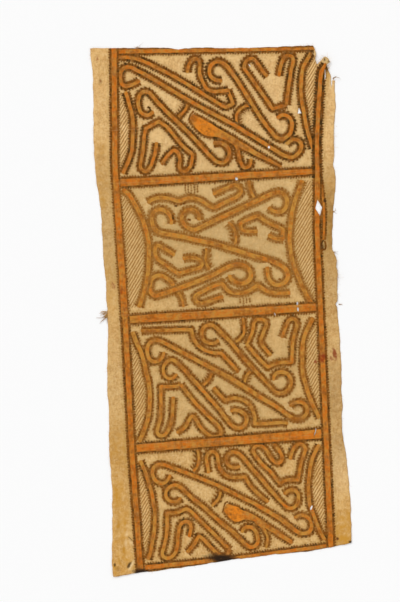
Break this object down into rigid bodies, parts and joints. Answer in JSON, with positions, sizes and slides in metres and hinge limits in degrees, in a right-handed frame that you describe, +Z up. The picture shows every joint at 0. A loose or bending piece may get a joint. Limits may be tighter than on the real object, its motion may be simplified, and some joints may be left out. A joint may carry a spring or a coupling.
{
  "type": "painted bark cloth",
  "caption": "Long sheet of beaten bark cloth with painted ochre and black scroll panels, laid out flat, with uneven edges, a torn corner and worn holes.",
  "frame": {"origin": "middle of the cloth's footprint, on the surface it lies on", "axes": "+Y along the cloth towards its upper end with the torn corner, +X towards that corner's side, +Z up out of the painted face"},
  "size_m": [0.646, 1.4018, 0.0067],
  "materials": {
    "painted_bark": "matte beaten bark fibre, painted on one side"
  },
  "bodies": {
    "root": {"bark_cloth": "painted_bark"}
  },
  "joints": []
}
